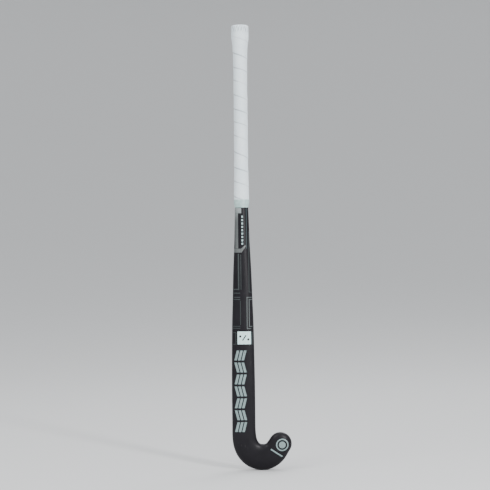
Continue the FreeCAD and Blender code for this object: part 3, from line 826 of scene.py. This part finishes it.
def makeWeaveGroup():
    # Plain weave: two crossed sets of ribs multiplied, one along the stick and one round it
    group, source, sink = startGroup("clothWeave", {"Scale": 700.0}, ["Height", "Mask"])
    vector = objectPlace(group)
    parts = addNode(group, "ShaderNodeSeparateXYZ")
    group.links.new(vector, parts.inputs["Vector"])
    waves = []
    for axis in ("X", "Z"):
        scaled = addNode(group, "ShaderNodeMath", operation="MULTIPLY")
        wave = addNode(group, "ShaderNodeMath", operation="SINE")
        group.links.new(parts.outputs[axis], scaled.inputs[0])
        group.links.new(source.outputs["Scale"], scaled.inputs[1])
        group.links.new(scaled.outputs["Value"], wave.inputs[0])
        waves.append(wave)
    product = addNode(group, "ShaderNodeMath", operation="MULTIPLY")
    ramp = addNode(group, "ShaderNodeMapRange", {"From Min": -1.0, "From Max": 1.0})
    group.links.new(waves[0].outputs["Value"], product.inputs[0])
    group.links.new(waves[1].outputs["Value"], product.inputs[1])
    group.links.new(product.outputs["Value"], ramp.inputs["Value"])
    group.links.new(product.outputs["Value"], sink.inputs["Height"])
    group.links.new(ramp.outputs["Result"], sink.inputs["Mask"])
    return group


grainGroup, scuffGroup = makeGrainGroup(), makeScuffGroup()
dustGroup, weaveGroup = makeDustGroup(), makeWeaveGroup()


def useGroup(tree, group, **values):
    # A shared group placed in a material with that material's own values
    node = tree.nodes.new("ShaderNodeGroup")
    node.node_tree = group
    for key, value in values.items():
        node.inputs[key].default_value = value
    return node


def blendColour(tree, mask, first, second):
    # Colour mix by a mask: first where it is 0, second where it is 1, each a colour or a socket
    mix = tree.nodes.new("ShaderNodeMix")
    mix.data_type = "RGBA"
    tree.links.new(mask, mix.inputs[0])
    for socket, value in ((mix.inputs[6], first), (mix.inputs[7], second)):
        if isinstance(value, tuple):
            socket.default_value = value + (1.0,)
        else:
            tree.links.new(value, socket)
    return mix.outputs[2]


def rangeOf(tree, value, low, high):
    # A mask from 0 to 1 spread between low and high
    ramp = addNode(tree, "ShaderNodeMapRange", {"To Min": low, "To Max": high})
    tree.links.new(value, ramp.inputs["Value"])
    return ramp.outputs["Result"]


def bumpFrom(tree, height, strength, distance, below=None):
    # Normals from a height, over those of another bump where there is one
    bump = addNode(tree, "ShaderNodeBump", {"Strength": strength, "Distance": distance})
    tree.links.new(height, bump.inputs["Height"])
    if below is not None:
        tree.links.new(below, bump.inputs["Normal"])
    return bump.outputs["Normal"]


def startMaterial(name, **values):
    # A material whose shader has the given even values
    material = bpy.data.materials.new(name)
    material.use_nodes = True
    shader = material.node_tree.nodes["Principled BSDF"]
    for key, value in values.items():
        shader.inputs[key].default_value = value
    return material, material.node_tree, shader


def attributeOf(tree, name):
    # A number stored on the piece's points
    node = tree.nodes.new("ShaderNodeAttribute")
    node.attribute_name = name
    return node.outputs["Fac"]


def makeShellPaint():
    # Near-black satin lacquer: broad tone drift, orange peel, fine scuffs and dust
    settings = {"Coat Roughness": 0.30, "Specular IOR Level": 0.16}
    material, tree, shader = startMaterial("satinBlackLacquer", **settings)
    broad = useGroup(tree, grainGroup, Scale=18.0, Detail=4.0)
    peel = useGroup(tree, grainGroup, Scale=520.0, Detail=2.0)
    fine = useGroup(tree, grainGroup, Scale=2600.0, Detail=2.0)
    scuffs = useGroup(tree, scuffGroup, Amount=0.5)
    dust = useGroup(tree, dustGroup, Scale=330.0, Size=0.10)
    tone = blendColour(tree, broad.outputs["Mask"], (0.0042, 0.0036, 0.0056), (0.0082, 0.0072, 0.0100))
    tone = blendColour(tree, rangeOf(tree, fine.outputs["Mask"], 0.0, 0.35), tone, (0.0125, 0.0112, 0.0145))
    tone = blendColour(tree, scuffs.outputs["Mask"], tone, (0.075, 0.073, 0.076))
    tone = blendColour(tree, rangeOf(tree, dust.outputs["Mask"], 0.0, 0.30), tone, (0.19, 0.19, 0.19))
    tree.links.new(tone, shader.inputs["Base Color"])
    tree.links.new(rangeOf(tree, broad.outputs["Mask"], 0.40, 0.50), shader.inputs["Roughness"])
    tree.links.new(rangeOf(tree, scuffs.outputs["Mask"], 0.10, 0.02), shader.inputs["Coat Weight"])
    normal = bumpFrom(tree, peel.outputs["Height"], 0.10, 0.0002)
    tree.links.new(bumpFrom(tree, fine.outputs["Height"], 0.12, 0.00006, normal), shader.inputs["Normal"])
    return material


def makeGripTape():
    # Cushioned tape: cool white, tiny pores, painted shade with some hand-dirt in the creases, painted shade
    # in the butt's folds, and a light sheen
    settings = {"Sheen Weight": 0.18, "Sheen Roughness": 0.5}
    material, tree, shader = startMaterial("cushionGripTape", **settings)
    broad = useGroup(tree, grainGroup, Scale=30.0, Detail=4.0)
    pores = useGroup(tree, grainGroup, Scale=1500.0, Detail=3.0)
    soft = useGroup(tree, grainGroup, Scale=260.0, Detail=3.0)
    dust = useGroup(tree, dustGroup, Scale=500.0, Size=0.10)
    tone = blendColour(tree, broad.outputs["Mask"], (0.76, 0.855, 0.90), (0.84, 0.91, 0.945))
    tone = blendColour(tree, rangeOf(tree, soft.outputs["Mask"], 0.0, 0.35), tone, (0.70, 0.80, 0.85))
    # Painted shade: the colour darkens along each crease, more on one side of the handle, with a little
    # hand-dirt
    creaseShade = rangeOf(tree, attributeOf(tree, "crease"), 0.0, 0.80)
    # Painted shade: the colour darkens in the troughs of the folds round the butt
    foldShade = rangeOf(tree, attributeOf(tree, "fold"), 0.0, 0.6)
    tone = blendColour(tree, creaseShade, tone, (0.26, 0.30, 0.33))
    tone = blendColour(tree, foldShade, tone, (0.30, 0.36, 0.40))
    tone = blendColour(tree, rangeOf(tree, dust.outputs["Mask"], 0.0, 0.25), tone, (0.35, 0.36, 0.37))
    tree.links.new(tone, shader.inputs["Base Color"])
    tree.links.new(rangeOf(tree, pores.outputs["Mask"], 0.55, 0.72), shader.inputs["Roughness"])
    normal = bumpFrom(tree, soft.outputs["Height"], 0.45, 0.0004)
    tree.links.new(bumpFrom(tree, pores.outputs["Height"], 0.55, 0.0002, normal), shader.inputs["Normal"])
    return material


def makeTapeFinish():
    # Stretched vinyl: pale mint, a faint darker line along each turn's edge
    settings = {"Coat Roughness": 0.2, "Coat Weight": 0.25}
    material, tree, shader = startMaterial("finishingVinyl", **settings)
    broad = useGroup(tree, grainGroup, Scale=90.0, Detail=3.0)
    fine = useGroup(tree, grainGroup, Scale=1100.0, Detail=2.0)
    tone = blendColour(tree, broad.outputs["Mask"], (0.34, 0.49, 0.475), (0.48, 0.63, 0.61))
    edged = rangeOf(tree, attributeOf(tree, "turnLine"), 0.0, 0.55)
    tone = blendColour(tree, edged, tone, (0.28, 0.37, 0.37))
    tree.links.new(tone, shader.inputs["Base Color"])
    tree.links.new(rangeOf(tree, fine.outputs["Mask"], 0.30, 0.42), shader.inputs["Roughness"])
    tree.links.new(bumpFrom(tree, fine.outputs["Height"], 0.18, 0.0001), shader.inputs["Normal"])
    return material


def makeInk(name, first, second, metal, roughness, lift=None):
    # Screen-printed ink: two close tones in a fine grain, scuffed thinly down to the lacquer; the piece's
    # shade attribute, 0 to 1, carries the tone towards lift, which on the flank panel's top end and the lower
    # right frame is a painted highlight
    material, tree, shader = startMaterial(name, Metallic=metal)
    grain = useGroup(tree, grainGroup, Scale=1400.0, Detail=2.0)
    broad = useGroup(tree, grainGroup, Scale=60.0, Detail=3.0)
    scuffs = useGroup(tree, scuffGroup, Amount=0.6)
    tone = blendColour(tree, grain.outputs["Mask"], first, second)
    if lift:
        tone = blendColour(tree, attributeOf(tree, "shade"), tone, lift)
    thinned = rangeOf(tree, broad.outputs["Mask"], 0.0, 0.25)
    tone = blendColour(tree, thinned, tone, tuple(0.8 * v for v in first))
    tone = blendColour(tree, scuffs.outputs["Mask"], tone, (0.02, 0.02, 0.022))
    rough = rangeOf(tree, grain.outputs["Mask"], roughness, roughness + 0.12)
    tree.links.new(tone, shader.inputs["Base Color"])
    tree.links.new(rough, shader.inputs["Roughness"])
    tree.links.new(bumpFrom(tree, grain.outputs["Height"], 0.15, 0.00005), shader.inputs["Normal"])
    return material


def makeInner(name, first, second, scale, roughness, woven=False):
    # Hidden pieces: foam cells, fibre weave or moulded plastic from the same groups
    material, tree, shader = startMaterial(name)
    if woven:
        pattern = useGroup(tree, weaveGroup, Scale=scale)
    else:
        pattern = useGroup(tree, grainGroup, Scale=scale, Detail=3.0)
    rough = rangeOf(tree, pattern.outputs["Mask"], roughness, roughness + 0.15)
    tree.links.new(blendColour(tree, pattern.outputs["Mask"], first, second), shader.inputs["Base Color"])
    tree.links.new(rough, shader.inputs["Roughness"])
    tree.links.new(bumpFrom(tree, pattern.outputs["Height"], 0.3, 0.0002), shader.inputs["Normal"])
    return material


shellPaint, gripTape, tapeFinish = makeShellPaint(), makeGripTape(), makeTapeFinish()
# Name, two tones, metal, roughness, and the tone that the shade attribute carries to
# The silver ink's last tone is the painted highlight at the flank panel's top end
silverInk = makeInk("silverInk", (0.10, 0.11, 0.11), (0.145, 0.155, 0.155), 0.25, 0.36,
                    (0.30, 0.335, 0.335))
tileInk = makeInk("tileSilver", (0.18, 0.26, 0.26), (0.32, 0.41, 0.41), 0.25, 0.36)
# The grey ink's last tone is a painted highlight, carried most of the way on the lower right frame
greyInk = makeInk("greyLineInk", (0.020, 0.028, 0.028), (0.030, 0.041, 0.041), 0.05, 0.45,
                  (0.13, 0.155, 0.155))
tealInk = makeInk("tealLineInk", (0.028, 0.052, 0.055), (0.042, 0.072, 0.076), 0.05, 0.45)
mintInk = makeInk("mintInk", (0.62, 0.88, 0.88), (0.72, 0.94, 0.94), 0.0, 0.42, (0.22, 0.31, 0.31))
darkInk = makeInk("darkInk", (0.004, 0.004, 0.005), (0.008, 0.008, 0.009), 0.0, 0.45)

printInks = {
    "flank_panel": (silverInk, "silver_ink"),
    "window_outline": (tealInk, "teal_ink"),
    "window_marks": (mintInk, "mint_ink"),
    "square_badge": (mintInk, "mint_ink"),
    "square_badge_marks": (darkInk, "dark_ink"),
}
for node in ("upper_frame_left", "upper_frame_right", "lower_frame_left", "lower_frame_right",
             "badge_brackets"):
    printInks[node] = (greyInk, "grey_ink")
for node in ("shaft_motifs", "toe_badge", "toe_bar"):
    printInks[node] = (tileInk, "silver_ink")

# Name, two tones, pattern scale, roughness, woven or not
innerLooks = {
    "aramid_liner": makeInner("aramidWeave", (0.52, 0.40, 0.10), (0.70, 0.58, 0.22), 2600.0, 0.55, True),
    "centre_web": makeInner("webLaminate", (0.016, 0.016, 0.018), (0.045, 0.045, 0.05), 2100.0, 0.35, True),
    "head_core": makeInner("denseFoam", (0.66, 0.60, 0.46), (0.78, 0.73, 0.60), 900.0, 0.75),
    "butt_plug": makeInner("plugPlastic", (0.020, 0.020, 0.022), (0.034, 0.034, 0.037), 700.0, 0.45),
    "knob_collar": makeInner("collarFoam", (0.055, 0.055, 0.06), (0.09, 0.09, 0.095), 1200.0, 0.8),
    "base_tape": makeInner("clothTape", (0.62, 0.58, 0.49), (0.76, 0.73, 0.65), 3200.0, 0.7, True),
}
cellFoam = makeInner("cellFoam", (0.74, 0.70, 0.60), (0.86, 0.83, 0.74), 600.0, 0.8)
innerLooks["handle_foam_heel_side"] = innerLooks["handle_foam_toe_side"] = cellFoam

# How far each print's tone is carried to its ink's last one: painted highlight on the lower right frame, a
# little of the same lighter grey on the upper left frame, a darker mint on the window marks; the panel's top
# end gets a painted highlight where it would catch more light
printTonesAndHighlights = {"lower_frame_right": 0.7, "upper_frame_left": 0.1, "window_marks": 0.75}
for node, shade in printTonesAndHighlights.items():
    addAttribute(printPieces[node], "shade", np.full(len(printPieces[node].data.vertices), shade))
# Painted highlight: the flank panel's silver is lightened towards its top end
panelHeights = pointsOf(printPieces["flank_panel"])[:, 2]
panelHighlight = smoothStep((panelHeights - upAt(0.93)) / (upAt(1.0) - upAt(0.93)))
addAttribute(printPieces["flank_panel"], "shade", panelHighlight)

for node, look in innerLooks.items():
    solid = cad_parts[node]
    solid.data.materials.clear()
    solid.data.materials.append(look)

# Ties to the frame: nothing moves, so every piece rides on the one body
ties = {
    "carbon_skin": (shell, shellPaint, "laminate"),
    "grip_wrap": (gripPiece, gripTape, "grip_tape"),
    "finishing_tape": (tapePiece, tapeFinish, "finishing_tape"),
}
for node, piece in printPieces.items():
    ties[node] = (piece, *printInks[node])
for node, (piece, look, slot) in ties.items():
    piece.data.materials.append(look)
    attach(piece, "root")
    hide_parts(node)

# Stage, light and camera
print("stage")
stage = {"flat": 2.4, "outer": 9.0, "height": 2.5, "columns": 128, "tone": (0.66, 0.665, 0.67)}


def makeStage():
    # A round dish: level out to the flat radius, then a quarter ellipse up
    level = np.linspace(0.0, stage["flat"], 24)[:-1]
    sweep = np.linspace(0.0, math.pi / 2, 30)
    radius = np.append(level, stage["flat"] + (stage["outer"] - stage["flat"]) * np.sin(sweep))
    height = np.append(0.0 * level, stage["height"] * (1.0 - np.cos(sweep)))
    r, a = gridOf(radius, allRound(stage["columns"]))
    points = np.stack([r * np.cos(a), r * np.sin(a), height[:, None] + 0.0 * a], axis=-1)
    faces = gridFaces(len(radius), stage["columns"], closedColumns=True)
    floor = makeMesh("studioFloor", points, faces, 1e-5)
    floor.data.shade_smooth()
    material, tree, shader = startMaterial("studioPaper", Roughness=0.9)
    drift = addNode(tree, "ShaderNodeTexNoise", {"Scale": 0.8, "Detail": 2.0})
    tree.links.new(objectPlace(tree), drift.inputs["Vector"])
    darker = tuple(0.985 * v for v in stage["tone"])
    tone = blendColour(tree, drift.outputs["Fac"], stage["tone"], darker)
    tree.links.new(tone, shader.inputs["Base Color"])
    floor.data.materials.append(material)


makeStage()

lamps = {
    "keyLamp": {"place": (1.20, -2.05, 1.25), "aim": (0.0, 0.0, 0.45), "size": (0.24, 1.4), "power": 58.0},
    "fillLamp": {"place": (-2.2, -2.2, 2.9), "aim": (0.0, 0.0, 0.45), "size": (1.8, 1.8), "power": 60.0},
    "topLamp": {"place": (0.0, 0.5, 3.8), "aim": (0.0, 0.0, 0.3), "size": (3.0, 3.0), "power": 60.0},
    "backLamp": {"place": (1.4, 2.4, 2.9), "aim": (0.0, 0.0, 0.45), "size": (1.6, 1.6), "power": 30.0},
}


def aimed(place, aim):
    # Turn that points an object's -Z from place to aim, with Y upright
    return (Vector(aim) - Vector(place)).to_track_quat("-Z", "Y")


for name, lamp in lamps.items():
    light = bpy.data.lights.new(name, "AREA")
    light.shape = "RECTANGLE"
    light.size, light.size_y = lamp["size"]
    light.energy = lamp["power"]
    lampObject = bpy.data.objects.new(name, light)
    lampObject.location = lamp["place"]
    lampObject.rotation_euler = aimed(lamp["place"], lamp["aim"]).to_euler()
    bpy.context.scene.collection.objects.link(lampObject)

world = bpy.data.worlds.new("softRoom")
world.use_nodes = True
sky = world.node_tree.nodes["Background"]
sky.inputs["Color"].default_value = (0.86, 0.88, 0.90, 1.0)
sky.inputs["Strength"].default_value = 0.95
bpy.context.scene.world = world

# A level view of the printed back, a little rolled; distance in metres, aim in mm, roll in degrees
view = {"lens": 120.0, "distance": 3.4, "aimX": -31.2, "aimZ": 469.3, "roll": 0.6}
camera = bpy.data.cameras.new("viewCamera")
camera.lens = view["lens"]
camera.sensor_width = 36.0
camera.clip_end = 60.0
cameraObject = bpy.data.objects.new("viewCamera", camera)
cameraObject.location = (view["aimX"] * mm, -view["distance"], view["aimZ"] * mm)
cameraObject.rotation_euler = (math.radians(90.0), math.radians(view["roll"]), 0.0)
bpy.context.scene.collection.objects.link(cameraObject)
bpy.context.scene.camera = cameraObject

print("finishing")
